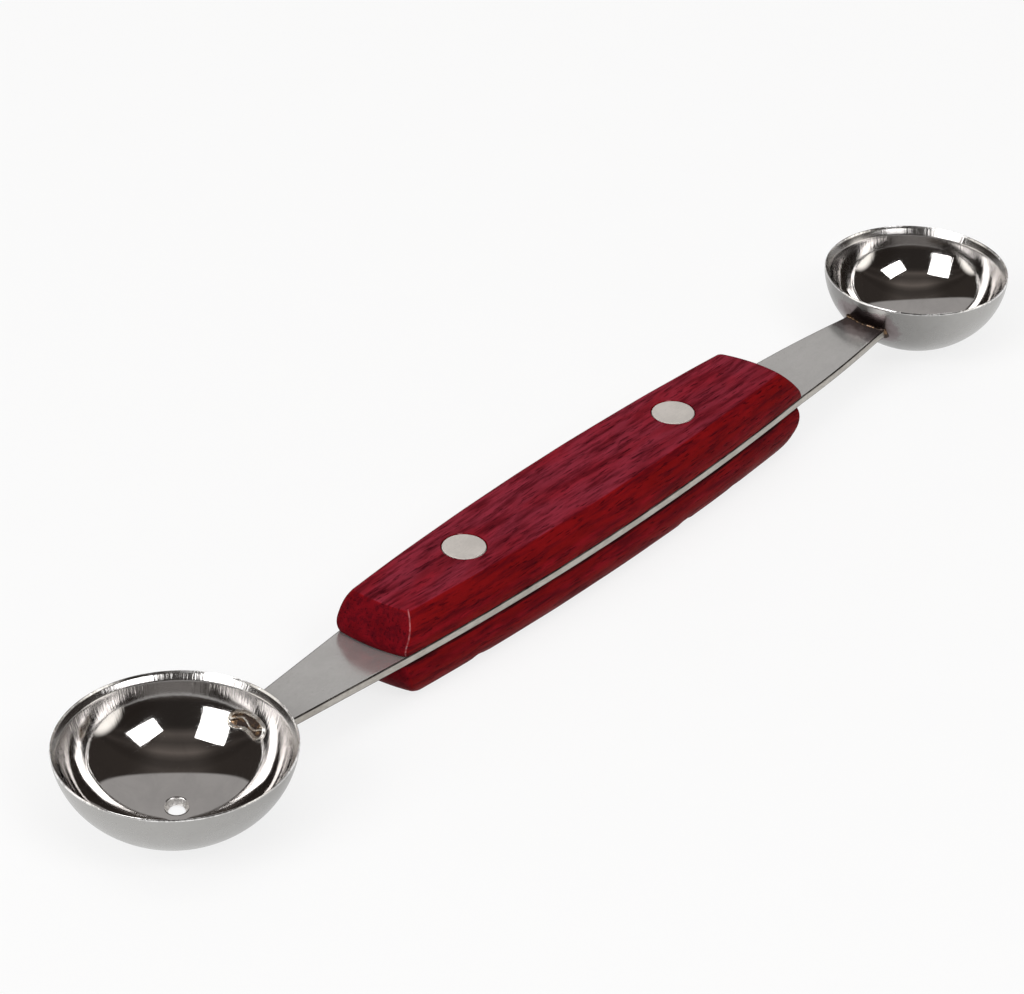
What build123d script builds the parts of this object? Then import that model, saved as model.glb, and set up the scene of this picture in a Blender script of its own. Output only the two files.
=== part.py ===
from build123d import *
import math
import os

# Double melon baller, in millimetres. +X runs from the large bowl to the small
# bowl, +Z is up, and both bowls stand on z = 0. The origin is on that plane,
# below the middle of the overall length.

# Overall
overall_length = 180.3
overrun = 2.0

# Bowls: each a round bottom, a little flatter than one sphere, with tighter shoulders
bowl_wall = 0.7
lip_rise = 0.25
bowl_tip_angle = 1.2
bowl_shoulder_angle = 46.0
bowl_flatness_share = 0.06
large_rim_diameter = 30.0
large_bowl_depth = 11.8
small_rim_diameter = 26.0
small_bowl_depth = 11.2
vent_diameter = 3.0
vent_offset_x = 1.2
vent_offset_y = 1.4

# Tang: one flat strip from bowl to bowl, flush with the scales between them
tang_thickness = 1.2
tang_tip_width = 6.4
small_neck_swell = 0.25

# Handle plan, where the scales meet the tang
handle_length = 83.8
handle_centre_x = 1.8
handle_mid_width = 14.1
handle_end_width = 10.3

# Scales: crowned sides, and ends that are bowed and a little out of square
scale_thickness = 5.85
table_clearance = 0.55
side_belly = 0.35
side_belly_height = 1.9
side_top_inset = 1.0
end_bow_radius = 25.0
end_skew_angle = 5.5
scale_edge_round = 0.45

# End profiles: inset and height of each point, from the tang out, by scale thickness
top_large_end_shares = ((0, 0), (-0.07, 0.24), (0.01, 0.45), (0.13, 0.74), (0.28, 1))
top_small_end_shares = ((0, 0), (0.12, 0.2), (0.3, 0.42), (0.58, 0.72), (0.88, 1))
bottom_large_end_shares = ((0, 0), (0, 0.3), (0.12, 0.62), (0.3, 0.86), (0.62, 1))
bottom_small_end_shares = ((0.17, 0), (0.1, 0.28), (0.3, 0.62), (0.48, 0.85), (0.95, 1))

# Compression rivets: a tube half from below and a post half from above
rivet_spacing = 43.0
rivet_middle_x = -0.3
rivet_head_diameter = 5.7
rivet_head_thickness = 1.4
rivet_tube_diameter = 3.6
rivet_post_diameter = 2.4
rivet_clearance = 0.05
rivet_tube_gap = 0.4
rivet_post_gap = 0.6

# Welds: a bead round the tang's end, and a nugget through the bowl's wall
weld_leg = 0.55
weld_bead_round = 0.3
weld_nugget_width = 5.0
weld_nugget_height = 2.3
weld_nugget_lift = 0.6
weld_proud = 0.2

# Sizes that follow from the ones above
half_length = overall_length / 2
tip_cosine = math.cos(math.radians(bowl_tip_angle))
large_rim_x = large_rim_diameter / 2 * tip_cosine - half_length
small_rim_x = half_length - small_rim_diameter / 2 * tip_cosine
handle_large_end_x = handle_centre_x - handle_length / 2
handle_small_end_x = handle_centre_x + handle_length / 2
half_turn = 180.0
quarter_turn = 90.0
plan_rise = (handle_mid_width - handle_end_width) / 2
plan_radius = (handle_length ** 2 / 4 + plan_rise ** 2) / (2 * plan_rise)
tang_underside = table_clearance + scale_thickness
tang_top = tang_underside + tang_thickness
tang_middle = tang_underside + tang_thickness / 2
rivet_places = (rivet_middle_x - rivet_spacing / 2, rivet_middle_x + rivet_spacing / 2)


class BowlShape:
    """One bowl: where it stands, and the two arcs that its wall is turned from.

    In its own frame the handle lies towards +X, the bowl tips away from it, and
    z = 0 is the foot of the lip.
    """

    def __init__(self, rim_diameter, depth, rim_x, heading):
        self.rim_radius = rim_diameter / 2
        cap_height = depth - lip_rise
        plain_radius = (self.rim_radius ** 2 + cap_height ** 2) / (2 * cap_height)
        self.bottom_radius = plain_radius * (1 + bowl_flatness_share)
        self.bottom_z = self.bottom_radius - cap_height
        across = math.sin(math.radians(bowl_shoulder_angle))
        down = math.cos(math.radians(bowl_shoulder_angle))
        spare = self.bottom_radius - self.rim_radius * across - self.bottom_z * down
        shift = cap_height * (self.bottom_radius - plain_radius) / spare
        self.shoulder_radius = self.bottom_radius - shift
        self.shoulder_x = shift * across
        self.shoulder_z = self.bottom_z - shift * down
        lip_foot_height = self.bottom_radius - self.bottom_z * tip_cosine
        self.stand = Pos(rim_x, 0, 0) * Rotation(0, 0, heading)
        self.place = self.stand * Pos(0, 0, lip_foot_height) * Rotation(0, -bowl_tip_angle, 0)

    def cap_curves(self, inset):
        """Bottom and shoulder arcs, from the axis up to the lip's foot, inset from the outside."""
        shoulder_radius = self.shoulder_radius - inset
        lean = math.degrees(math.asin(self.shoulder_z / shoulder_radius))
        bottom = CenterArc(
            (0, self.bottom_z),
            self.bottom_radius - inset,
            -quarter_turn,
            bowl_shoulder_angle,
        )
        shoulder = CenterArc(
            (self.shoulder_x, self.shoulder_z),
            shoulder_radius,
            bowl_shoulder_angle - quarter_turn,
            quarter_turn - bowl_shoulder_angle - lean,
        )
        return [bottom, shoulder]

    def turned(self, edges):
        """The solid turned from a closed outline, set in the bowl's place."""
        return self.place * revolve(Plane.XZ * make_face(edges), Axis.Z)

    def plug(self, inset):
        """Everything inside the cap, filled solid up to the foot of the lip."""
        bottom, shoulder = self.cap_curves(inset)
        return self.turned([bottom, shoulder, Polyline(shoulder @ 1, (0, 0), bottom @ 0)])

    def shell(self):
        """The thin wall with its rounded lip."""
        outer_bottom, outer_shoulder = self.cap_curves(0)
        inner_bottom, inner_shoulder = self.cap_curves(bowl_wall)
        outer_foot = outer_shoulder @ 1
        inner_foot = inner_shoulder @ 1
        lip = ThreePointArc(outer_foot, ((outer_foot.X + inner_foot.X) / 2, lip_rise), inner_foot)
        floor_line = Line(inner_bottom @ 0, outer_bottom @ 0)
        return self.turned([outer_bottom, outer_shoulder, lip, inner_shoulder, inner_bottom, floor_line])


large_shape = BowlShape(large_rim_diameter, large_bowl_depth, large_rim_x, 0)
small_shape = BowlShape(small_rim_diameter, small_bowl_depth, small_rim_x, half_turn)


def nugget_prism(shape):
    """The weld nugget's outline, run along X through the bowl's wall on the tang's side."""
    outline = Plane.YZ * SlotOverall(weld_nugget_width, weld_nugget_height)
    lift = Pos(0, 0, tang_middle + weld_nugget_lift)
    return shape.stand * lift * extrude(outline, shape.rim_radius + overrun)


def make_bowl(shape):
    """Thin wall with a vent hole in its bottom and a slot for the weld."""
    vent = shape.stand * Pos(vent_offset_x, vent_offset_y, 0) * Cylinder(vent_diameter / 2, shape.rim_radius)
    return shape.shell() - vent - nugget_prism(shape)


def tang_side():
    """The +Y edge of the tang's outline, from the large bowl's rim to the small one's."""
    tip = tang_tip_width / 2
    shoulder = handle_end_width / 2
    large_joint_x = large_rim_x + large_shape.rim_radius
    small_joint_x = small_rim_x - small_shape.rim_radius
    small_waist = ((small_joint_x + handle_small_end_x) / 2, (tip + shoulder) / 2 + small_neck_swell)
    large_end = (handle_large_end_x, shoulder)
    small_end = (handle_small_end_x, shoulder)
    return [
        Line((large_rim_x, tip), (large_joint_x, tip)),
        Line((large_joint_x, tip), large_end),
        ThreePointArc(large_end, (handle_centre_x, handle_mid_width / 2), small_end),
        ThreePointArc(small_end, small_waist, (small_joint_x, tip)),
        Line((small_joint_x, tip), (small_rim_x, tip)),
    ]


def make_tang():
    """Flat strip, holed for the rivets, with ends cut to the bowls' outer walls."""
    tip = tang_tip_width / 2
    far_side = tang_side()
    near_side = [mirror(edge, Plane.XZ) for edge in far_side]
    ends = [Line((x, -tip), (x, tip)) for x in (large_rim_x, small_rim_x)]
    outline = make_face(far_side + near_side + ends)
    tang = Pos(0, 0, tang_underside) * extrude(outline, tang_thickness)
    hole = Cylinder(rivet_tube_diameter / 2 + rivet_clearance, tang_thickness + overrun)
    for x in rivet_places:
        tang -= Pos(x, 0, tang_middle) * hole
    return tang - large_shape.plug(0) - small_shape.plug(0)


def crowned_disc(side):
    """A wide disc whose rim is the scale's bulging side, bowed like the handle's plan."""
    top = (plan_radius - side_top_inset, scale_thickness)
    belly = (plan_radius + side_belly, side_belly_height)
    seat = (plan_radius, 0)
    edges = [
        Polyline(seat, (0, 0), (0, scale_thickness), top),
        ThreePointArc(top, belly, seat),
    ]
    disc = revolve(Plane.XZ * make_face(edges), Axis.Z)
    return Pos(handle_centre_x, side * (plan_radius - handle_mid_width / 2), 0) * disc


def bowed_end(end_x, heading, shares):
    """A disc whose rim is the scale's end, and a block for the handle behind it."""
    seat, belly, knee, crown, top = [
        (end_bow_radius - inset_share * scale_thickness, height_share * scale_thickness)
        for inset_share, height_share in shares
    ]
    edges = [
        Polyline(seat, (0, 0), (0, scale_thickness), top),
        ThreePointArc(top, crown, knee),
        ThreePointArc(knee, belly, seat),
    ]
    disc = revolve(Plane.XZ * make_face(edges), Axis.Z)
    block = Box(
        handle_length,
        handle_mid_width + overrun,
        scale_thickness,
        align=(Align.MIN, Align.CENTER, Align.MIN),
    )
    skew_y = end_bow_radius * math.sin(math.radians(end_skew_angle))
    middle = Pos(end_x, 0, 0) * Rotation(0, 0, heading)
    reach_x = math.sqrt(end_bow_radius ** 2 - skew_y ** 2)
    return middle * Pos(reach_x, skew_y, 0) * disc + middle * Pos(reach_x, 0, 0) * block


def rivet_bore():
    """The stepped hole through a scale: clearance for the tube and a recess for the head."""
    shank = Cylinder(
        rivet_tube_diameter / 2 + rivet_clearance,
        scale_thickness,
        align=(Align.CENTER, Align.CENTER, Align.MIN),
    )
    recess = Cylinder(
        rivet_head_diameter / 2 + rivet_clearance,
        rivet_head_thickness,
        align=(Align.CENTER, Align.CENTER, Align.MAX),
    )
    return shank + Pos(0, 0, scale_thickness) * recess


def make_scale(large_end_shares, small_end_shares):
    """One handle scale, lying with its seat on z = 0."""
    scale = crowned_disc(1) & crowned_disc(-1)
    scale &= bowed_end(handle_large_end_x, 0, large_end_shares)
    scale &= bowed_end(handle_small_end_x, half_turn, small_end_shares)
    top_edges = scale.faces().sort_by(Axis.Z)[-1].edges()
    scale = fillet(top_edges, scale_edge_round)
    for x in rivet_places:
        scale -= Pos(x, 0, 0) * rivet_bore()
    return scale


def make_top_scale():
    """The scale on the side that the bowls open to."""
    scale = make_scale(top_large_end_shares, top_small_end_shares)
    return Pos(0, 0, tang_top) * scale


def make_bottom_scale():
    """The scale on the side of the bowls' bottoms."""
    scale = make_scale(bottom_large_end_shares, bottom_small_end_shares)
    return Pos(0, 0, tang_underside) * mirror(scale, Plane.XY)


def make_rivet_tube(x):
    """The lower half: a head flush with the bottom scale and a hollow shank."""
    head_seat = tang_underside - scale_thickness + rivet_head_thickness
    shank_length = tang_top + scale_thickness - rivet_head_thickness - rivet_tube_gap - head_seat
    upward = (Align.CENTER, Align.CENTER, Align.MIN)
    head = Cylinder(rivet_head_diameter / 2, rivet_head_thickness, align=(Align.CENTER, Align.CENTER, Align.MAX))
    shank = Cylinder(rivet_tube_diameter / 2, shank_length, align=upward)
    bore = Cylinder(rivet_post_diameter / 2, shank_length + overrun, align=upward)
    return Pos(x, 0, head_seat) * (head + shank - bore)


def make_rivet_post(x):
    """The upper half: a head flush with the top scale and a solid post in the tube."""
    head_seat = tang_top + scale_thickness - rivet_head_thickness
    tube_floor = tang_underside - scale_thickness + rivet_head_thickness
    post_length = head_seat - tube_floor - rivet_post_gap
    head = Cylinder(rivet_head_diameter / 2, rivet_head_thickness, align=(Align.CENTER, Align.CENTER, Align.MIN))
    post = Cylinder(rivet_post_diameter / 2, post_length, align=(Align.CENTER, Align.CENTER, Align.MAX))
    return Pos(x, 0, head_seat) * (head + post)


def make_weld(shape, tang):
    """Bead outside the bowl round the tang's end, and the nugget that shows inside it."""
    nugget = (nugget_prism(shape) & shape.plug(0)) - shape.plug(bowl_wall + weld_proud)
    bead_width = tang_tip_width + 2 * weld_leg
    bead_height = tang_thickness + 2 * weld_leg
    bead_outline = Plane.YZ * RectangleRounded(bead_width, bead_height, weld_bead_round)
    bead = shape.stand * Pos(0, 0, tang_middle) * extrude(bead_outline, shape.rim_radius + overrun)
    bead &= shape.plug(-weld_leg)
    return nugget + (bead - shape.plug(0) - tang)


tang = make_tang()
parts = {
    "tang": tang,
    "large_bowl": make_bowl(large_shape),
    "small_bowl": make_bowl(small_shape),
    "top_scale": make_top_scale(),
    "bottom_scale": make_bottom_scale(),
    "large_bowl_weld": make_weld(large_shape, tang),
    "small_bowl_weld": make_weld(small_shape, tang),
}
for end_name, x in zip(("large_end", "small_end"), rivet_places):
    parts[end_name + "_rivet_post"] = make_rivet_post(x)
    parts[end_name + "_rivet_tube"] = make_rivet_tube(x)

os.makedirs("parts", exist_ok=True)
for name, shape in parts.items():
    export_step(shape, f"parts/{name}.step")
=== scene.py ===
import math

import bpy
from mathutils import Matrix, Vector, noise


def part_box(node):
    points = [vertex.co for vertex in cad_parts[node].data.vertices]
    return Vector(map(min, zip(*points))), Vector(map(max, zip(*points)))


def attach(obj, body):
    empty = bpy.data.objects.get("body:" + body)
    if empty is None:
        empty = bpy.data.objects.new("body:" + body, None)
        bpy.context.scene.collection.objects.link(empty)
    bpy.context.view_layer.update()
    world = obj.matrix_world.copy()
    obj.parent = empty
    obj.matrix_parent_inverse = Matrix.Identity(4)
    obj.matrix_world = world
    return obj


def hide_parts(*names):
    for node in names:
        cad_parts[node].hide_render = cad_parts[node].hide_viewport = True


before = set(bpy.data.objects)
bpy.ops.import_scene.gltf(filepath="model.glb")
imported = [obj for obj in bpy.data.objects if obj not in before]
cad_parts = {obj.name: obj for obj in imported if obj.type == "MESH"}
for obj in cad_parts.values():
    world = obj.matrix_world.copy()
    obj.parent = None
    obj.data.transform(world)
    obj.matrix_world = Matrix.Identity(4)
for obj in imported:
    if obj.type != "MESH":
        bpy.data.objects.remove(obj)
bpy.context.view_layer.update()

# Double melon baller. Sizes are in millimetres, and MM turns them into metres.
MM = 0.001
TURN = 2 * math.pi

# Bowls, as they are pressed: wall, lip, tip away from the handle, and the two arcs of the wall
bowl_wall = 0.7
lip_wall = 0.26
lip_rise = 0.25
large_bevel_height = 0.72
small_bevel_height = 0.92
bevel_straight_share = 0.75
bowl_tip = math.radians(1.2)
shoulder_angle = math.radians(46.0)
flatness_share = 0.06
large_bowl_depth = 11.8
small_bowl_depth = 11.2

# Vents: hole at the inside and at its foot, how far it lies off the middle, and its edge
vent_radius = 1.5
vent_foot_radius = 1.05
vent_offset = (1.2, 1.4)
vent_fade_share = 0.55
vent_burr = 0.1
vent_burr_width = 0.22
vent_drag_share = 0.12

# Tang: outline, thickness, eased edges, and how far its ends go into the bowls' walls
tang_tip_width = 6.4
tang_thickness = 1.2
tang_edge_round = 0.17
tang_face_margin = 0.25
tang_root = 0.55
small_neck_swell = 0.25

# Weld beads round the tang's ends
weld_bead_radius = 0.44
bead_overlap = 0.1
bead_mean_share = 0.9
bead_swing_share = 0.5
bead_lump_pitch = 0.9
bead_side_lean = 0.25
bead_corner_lean = 0.6

# Weld prints inside the bowls: a bean-shaped ridge, a wavy ridge in it, and the patch they stand on
print_half_length = 1.75
print_half_height = 1.05
print_lift = 0.4
patch_half_width = 3.05
patch_half_height = 1.8
print_root = 0.4
print_bend = 0.32
print_droop = 0.12
ridge_height = 0.28
ridge_width = 0.19
ridge_unevenness = 0.35
ridge_lump_pitch = 1.3
wave_height = 0.2
wave_width = 0.16
wave_swing = 0.4
wave_lift = 0.05
wave_pitch = 1.6
hollow_reach = 0.62
hollow_edge = 0.3
apron_height = 0.1
apron_edge = 0.4
patch_sink = 0.07

# Handle scales: plan, crowned sides, and the ends' profiles by scale thickness
handle_length = 83.8
handle_centre_x = 1.8
handle_mid_width = 14.1
handle_end_width = 10.3
scale_thickness = 5.85
side_belly = 0.35
side_belly_height = 1.9
side_top_inset = 1.0
end_bow_radius = 25.0
end_skew = end_bow_radius * math.sin(math.radians(5.5))
top_large_end_shares = ((0, 0), (-0.07, 0.24), (0.01, 0.45), (0.13, 0.74), (0.28, 1))
top_small_end_shares = ((0, 0), (0.12, 0.2), (0.3, 0.42), (0.58, 0.72), (0.88, 1))
bottom_large_end_shares = ((0, 0), (0, 0.3), (0.12, 0.62), (0.3, 0.86), (0.62, 1))
bottom_small_end_shares = ((0.17, 0), (0.1, 0.28), (0.3, 0.62), (0.48, 0.85), (0.95, 1))
scale_edge_round = 0.24
scale_corner_round = 0.55
scale_seat_round = 0.16
scale_seat_margin = 0.5
scale_face_margin = 0.12
sanding_wander = 0.035
wander_pitches = (0.16, 0.2, 0.12)

# Way, in plan, that faces turn where the painted highlight goes: the upright corner at the large end, near
# side
highlight_heading = math.radians(-130.0)

# Small knocks in the lower scale's near edge: place along the handle, width and depth, and the share
# of the scale's thickness at which they begin
lower_nicks = [(-25.0, 0.9, 0.3), (17.0, 0.7, 0.4), (28.0, 0.7, 0.15)]
nick_foot_share = 0.8

# Rivets, and the crushed mouth of the holes that their heads sit in
rivet_head_diameter = 5.7
rivet_head_thickness = 1.4
rivet_tube_diameter = 3.6
rivet_post_diameter = 2.4
rivet_gap = 0.11
rivet_edge_round = 0.12
rivet_face_margin = 0.1
mouth_depths = ((0.0, 0.16), (0.03, 0.06), (0.11, -0.02))
cut_overrun = 1.0

# Heights that follow
tang_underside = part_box("bottom_scale")[1].z / MM
tang_top = tang_underside + tang_thickness
tang_middle = tang_underside + tang_thickness / 2

# Ways that brush strokes run: each axis times this, so the smallest is the way along them
along_handle = (0.3, 1.0, 1.0)
upright = (1.0, 1.0, 0.1)

# Dirt that has settled in old pits of bare steel
old_dirt = (0.2, 0.18, 0.16)


# Small helpers for shader trees. Most find their tree by a linked value that they are given.

def connect(node, key, value):
    """Link a socket or set a value on one input, found by name or number."""
    if isinstance(value, bpy.types.NodeSocket):
        node.id_data.links.new(value, node.inputs[key])
    else:
        node.inputs[key].default_value = value


def add(tree, kind, settings=None, **inputs):
    """A new shader node with its settings, and its named inputs set or linked."""
    node = tree.nodes.new("ShaderNode" + kind)
    for key, value in (settings or {}).items():
        setattr(node, key, value)
    for key, value in inputs.items():
        connect(node, key.replace("_", " "), value)
    return node


def add_numbered(kind, settings, values):
    """Results of a new node whose inputs are set or linked by their numbers."""
    tree = next(value.id_data for value in values.values() if isinstance(value, bpy.types.NodeSocket))
    node = add(tree, kind, settings)
    for key, value in values.items():
        connect(node, key, value)
    return node.outputs


def calc(operation, *values):
    """Result of one sum."""
    return add_numbered("Math", {"operation": operation}, dict(enumerate(values)))[0]


def vector_calc(operation, *values):
    """Result of one vector sum, which is a plain number for some sums."""
    results = add_numbered("VectorMath", {"operation": operation}, dict(enumerate(values)))
    return results["Value" if operation in ("DOT_PRODUCT", "LENGTH") else "Vector"]


def share_of(value, share):
    """A value cut down to a share."""
    return calc("MULTIPLY", value, share)


def add_shares(start, *parts):
    """A value with others added to it, each given with its share."""
    for value, share in parts:
        start = calc("ADD", start, share_of(value, share))
    return start


def rest_of(value):
    """What is missing from a value to 1."""
    return calc("SUBTRACT", 1.0, value)


def stretch(vector, scale):
    """A position scaled along each axis."""
    return vector_calc("MULTIPLY", vector, scale)


def in_millimetres(place):
    """A position in metres turned into millimetres."""
    return stretch(place, (1 / MM,) * 3)


def axes_of(vector):
    """X, Y and Z of a vector."""
    return add(vector.id_data, "SeparateXYZ", Vector=vector).outputs


def noise_value(vector, scale, detail=3.0, roughness=0.55, distortion=0.0):
    """Fractal noise, from 0 to 1."""
    return add(
        vector.id_data, "TexNoise", Vector=vector, Scale=scale, Detail=detail,
        Roughness=roughness, Distortion=distortion).outputs["Fac"]


def spread(value, low, high, to_low=0.0, to_high=1.0):
    """A value's range laid out again, clamped and eased at both ends."""
    return add(
        value.id_data, "MapRange", {"interpolation_type": "SMOOTHSTEP"}, Value=value,
        From_Min=low, From_Max=high, To_Min=to_low, To_Max=to_high).outputs["Result"]


def vary(noise_source, low, high):
    """Noise laid out between two values."""
    return spread(noise_source, 0.3, 0.7, low, high)


def blend_colours(factor, first, second):
    """Two colours mixed by a factor."""
    first, second = (colour + (1,) if isinstance(colour, tuple) else colour for colour in (first, second))
    return add_numbered("Mix", {"data_type": "RGBA"}, {0: factor, 6: first, 7: second})[2]


def lay_over(colour, mask, share, over):
    """A colour with another laid over it where a mask shows, up to a share."""
    return blend_colours(share_of(mask, share), colour, over)


def colour_ramp(value, stops):
    """Colours laid out along a value by their stops."""
    node = add(value.id_data, "ValToRGB", Fac=value)
    elements = node.color_ramp.elements
    while len(elements) < len(stops):
        elements.new(0.5)
    for element, (at, colour) in zip(elements, stops):
        element.position = at
        element.color = colour + (1,)
    return node.outputs["Color"]


def start_group(name, takes, gives):
    """An empty node group with named sockets: numbers are values, and the rest are vectors."""
    group = bpy.data.node_groups.new(name, "ShaderNodeTree")
    for socket_name, value in takes.items():
        kind = "NodeSocketFloat" if isinstance(value, float) else "NodeSocketVector"
        socket = group.interface.new_socket(name=socket_name, in_out="INPUT", socket_type=kind)
        if value is not None:
            socket.default_value = value
    for socket_name in gives:
        group.interface.new_socket(name=socket_name, in_out="OUTPUT", socket_type="NodeSocketFloat")
    return group, group.nodes.new("NodeGroupInput").outputs, group.nodes.new("NodeGroupOutput")


def use_group(group, **inputs):
    """Results of a group placed beside its position, with its named inputs set or linked."""
    return add(inputs["Position"].id_data, "Group", {"node_tree": group}, **inputs).outputs


# Shared surface effects

def make_brushed_lines():
    """Fine scratches left by grinding: thin across, long along, in uneven patches."""
    takes = {"Position": None, "Lines per mm": 6.0, "Run": (0.05, 1.0, 1.0), "Patchiness": 0.4}
    group, taken, given = start_group("brushed lines", takes, ["Lines", "Patches"])
    place = in_millimetres(taken["Position"])
    run = stretch(place, taken["Run"])
    fine = noise_value(run, taken["Lines per mm"], detail=2.0, roughness=0.7)
    broad = noise_value(run, share_of(taken["Lines per mm"], 0.2), detail=2.0)
    patches = noise_value(place, 0.22)
    uneven = calc("SUBTRACT", patches, 0.5)
    lines = add_shares(0.0, (fine, 0.65), (broad, 0.35), (uneven, taken["Patchiness"]))
    connect(given, "Lines", spread(lines, 0.32, 0.68))
    connect(given, "Patches", patches)
    return group


def make_edge_wear():
    """Where a part's edges catch the hand: 1 on a sharp edge, 0 on open faces, broken up by noise."""
    takes = {"Position": None, "Width": 0.35 * MM, "Breakup": 0.5}
    group, taken, given = start_group("edge wear", takes, ["Wear"])
    rounded = add(group, "Bevel", {"samples": 6}, Radius=taken["Width"]).outputs[0]
    facing = add(group, "NewGeometry").outputs["Normal"]
    edge = spread(rest_of(vector_calc("DOT_PRODUCT", rounded, facing)), 0.004, 0.09)
    breaks = noise_value(in_millimetres(taken["Position"]), 1.1, detail=4.0)
    kept = rest_of(share_of(spread(breaks, 0.35, 0.65), taken["Breakup"]))
    connect(given, "Wear", share_of(edge, kept))
    return group


def make_handling_marks():
    """Faint smudges, pits and hair scratches of a tool in use."""
    takes = {"Position": None, "Scale": 0.3}
    group, taken, given = start_group("handling marks", takes, ["Smudges", "Specks", "Scratches"])
    place = in_millimetres(taken["Position"])
    smudges = noise_value(place, taken["Scale"], detail=5.0, roughness=0.6, distortion=0.4)
    dots = noise_value(place, 2.6, detail=1.0)
    hairs = add(
        group, "TexWave", {"wave_type": "RINGS"}, Vector=place, Scale=0.35, Distortion=26.0,
        Detail=1.0, Detail_Scale=0.25).outputs["Fac"]
    connect(given, "Smudges", spread(smudges, 0.35, 0.7))
    connect(given, "Specks", spread(dots, 0.7, 0.78))
    connect(given, "Scratches", spread(hairs, 0.985, 0.999))
    return group


def make_wood_grain():
    """Close-grained wood along X: growth figure, long streaks and short open pores, with masks for the end
    grain, a painted sheen on the broad face, and a painted reflection of the dark room on the shoulder beside
    it."""
    gives = ["Figure", "Streaks", "Pores", "End", "Painted sheen", "Shoulder reflection"]
    group, taken, given = start_group("wood grain", {"Position": None, "Board": 0.0}, gives)
    board = taken["Board"]
    shift = add(group, "CombineXYZ", X=board, Y=share_of(board, 0.7), Z=board).outputs[0]
    place = vector_calc("ADD", in_millimetres(taken["Position"]), shift)
    sway = noise_value(stretch(place, (0.03, 0.12, 0.12)), 1.0, detail=2.0)
    lean = add(group, "CombineXYZ", Y=share_of(sway, 2.4), Z=share_of(sway, 1.6)).outputs[0]
    swayed = vector_calc("ADD", place, lean)
    for name, run, detail, roughness, low, high in (
            ("Figure", (0.16, 0.45, 0.45), 5.0, 0.6, 0.3, 0.7),
            ("Streaks", (0.13, 1.15, 1.15), 4.0, 0.65, 0.42, 0.66),
            ("Pores", (0.4, 3.4, 3.4), 2.0, 0.6, 0.55, 0.7)):
        connect(given, name, spread(noise_value(stretch(swayed, run), 1.0, detail, roughness), low, high))
    facing = axes_of(add(group, "NewGeometry").outputs["Normal"])
    end = spread(calc("ABSOLUTE", facing["X"]), 0.45, 0.85)
    tilt = calc("ABSOLUTE", facing["Z"])
    broad = spread(tilt, 0.8, 0.97)
    # Painted sheen: the broad face is coloured as if it reflected the pale sweep, in uneven patches
    sheen_breakup = noise_value(stretch(place, (0.08, 0.3, 0.3)), 1.0)
    # Painted reflection: the slightly leaning shoulder of each side is coloured as if it reflected the dark
    # room
    narrow = share_of(spread(tilt, 0.02, 0.16), rest_of(broad))
    connect(given, "End", end)
    connect(given, "Painted sheen", share_of(broad, spread(sheen_breakup, 0.3, 0.65, 0.35, 1.0)))
    connect(given, "Shoulder reflection", share_of(narrow, rest_of(end)))
    return group


def make_heat_tint_and_shade():
    """Heat marks round a weld across the part, burnt close in and rose beside it, and painted shade further
    out that darkens the steel towards the handle.
    """
    takes = {"Position": None, "Joint": None, "Half width": 2.7 * MM, "Reach": 1.0}
    group, taken, given = start_group("heat tint", takes, ["Burnt", "Rose", "Shade"])
    away = axes_of(vector_calc("SUBTRACT", taken["Position"], taken["Joint"]))
    beyond = calc("SUBTRACT", calc("ABSOLUTE", away["Y"]), taken["Half width"])
    flat = add(group, "CombineXYZ", X=away["X"], Y=calc("MAXIMUM", beyond, 0.0), Z=away["Z"])
    distance = share_of(vector_calc("LENGTH", flat.outputs[0]), 1 / MM)
    ragged = calc("SUBTRACT", noise_value(in_millimetres(taken["Position"]), 0.8), 0.5)
    reach = add_shares(calc("DIVIDE", distance, taken["Reach"]), (ragged, 2.4))
    for name, edge, core in (("Burnt", 2.3, 0.9), ("Rose", 3.4, 2.5), ("Shade", 15.0, 2.0)):
        connect(given, name, spread(reach, edge, core))
    return group


def make_corner_highlight():
    """Painted highlight on faces that turn one way in plan: the upright corner at the large bowl's end, on the
    near side.
    """
    group, taken, given = start_group("corner rub", {"Position": None}, ["Highlight"])
    facing = add(group, "NewGeometry").outputs["Normal"]
    level = vector_calc("NORMALIZE", stretch(facing, (1.0, 1.0, 0.0)))
    toward = (math.cos(highlight_heading), math.sin(highlight_heading), 0.0)
    ridge = spread(vector_calc("DOT_PRODUCT", level, toward), 0.99, 1.0)
    breaks = noise_value(in_millimetres(taken["Position"]), 1.7)
    connect(given, "Highlight", share_of(ridge, spread(breaks, 0.35, 0.55, 0.3, 1.0)))
    return group


brushed_lines = make_brushed_lines()
edge_wear = make_edge_wear()
handling_marks = make_handling_marks()
wood_grain = make_wood_grain()
heat_tint_and_shade = make_heat_tint_and_shade()
corner_highlight = make_corner_highlight()


# Materials

def start_material(name):
    """A node material with a principled shader, and the part's own coordinates."""
    material = bpy.data.materials.new(name)
    material.use_nodes = True
    return material, add(material.node_tree, "TexCoord").outputs["Object"]


def finish_material(material, colour, rough, metallic, relief, strength, depth):
    """A material with colour, roughness and metal, and a relief by its depth in millimetres."""
    shader = material.node_tree.nodes["Principled BSDF"]
    bump = add(material.node_tree, "Bump", Height=relief, Strength=strength, Distance=depth * MM)
    connect(shader, "Base Color", colour)
    connect(shader, "Roughness", rough)
    connect(shader, "Metallic", metallic)
    connect(shader, "Normal", bump.outputs["Normal"])
    return material


def brush(place, lines_per_mm, run, patchiness):
    """Brushed lines on a surface."""
    return use_group(
        brushed_lines, Position=place, Lines_per_mm=lines_per_mm, Run=run, Patchiness=patchiness)


def mark(place, scale):
    """Handling marks on a surface."""
    return use_group(handling_marks, Position=place, Scale=scale)


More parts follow.
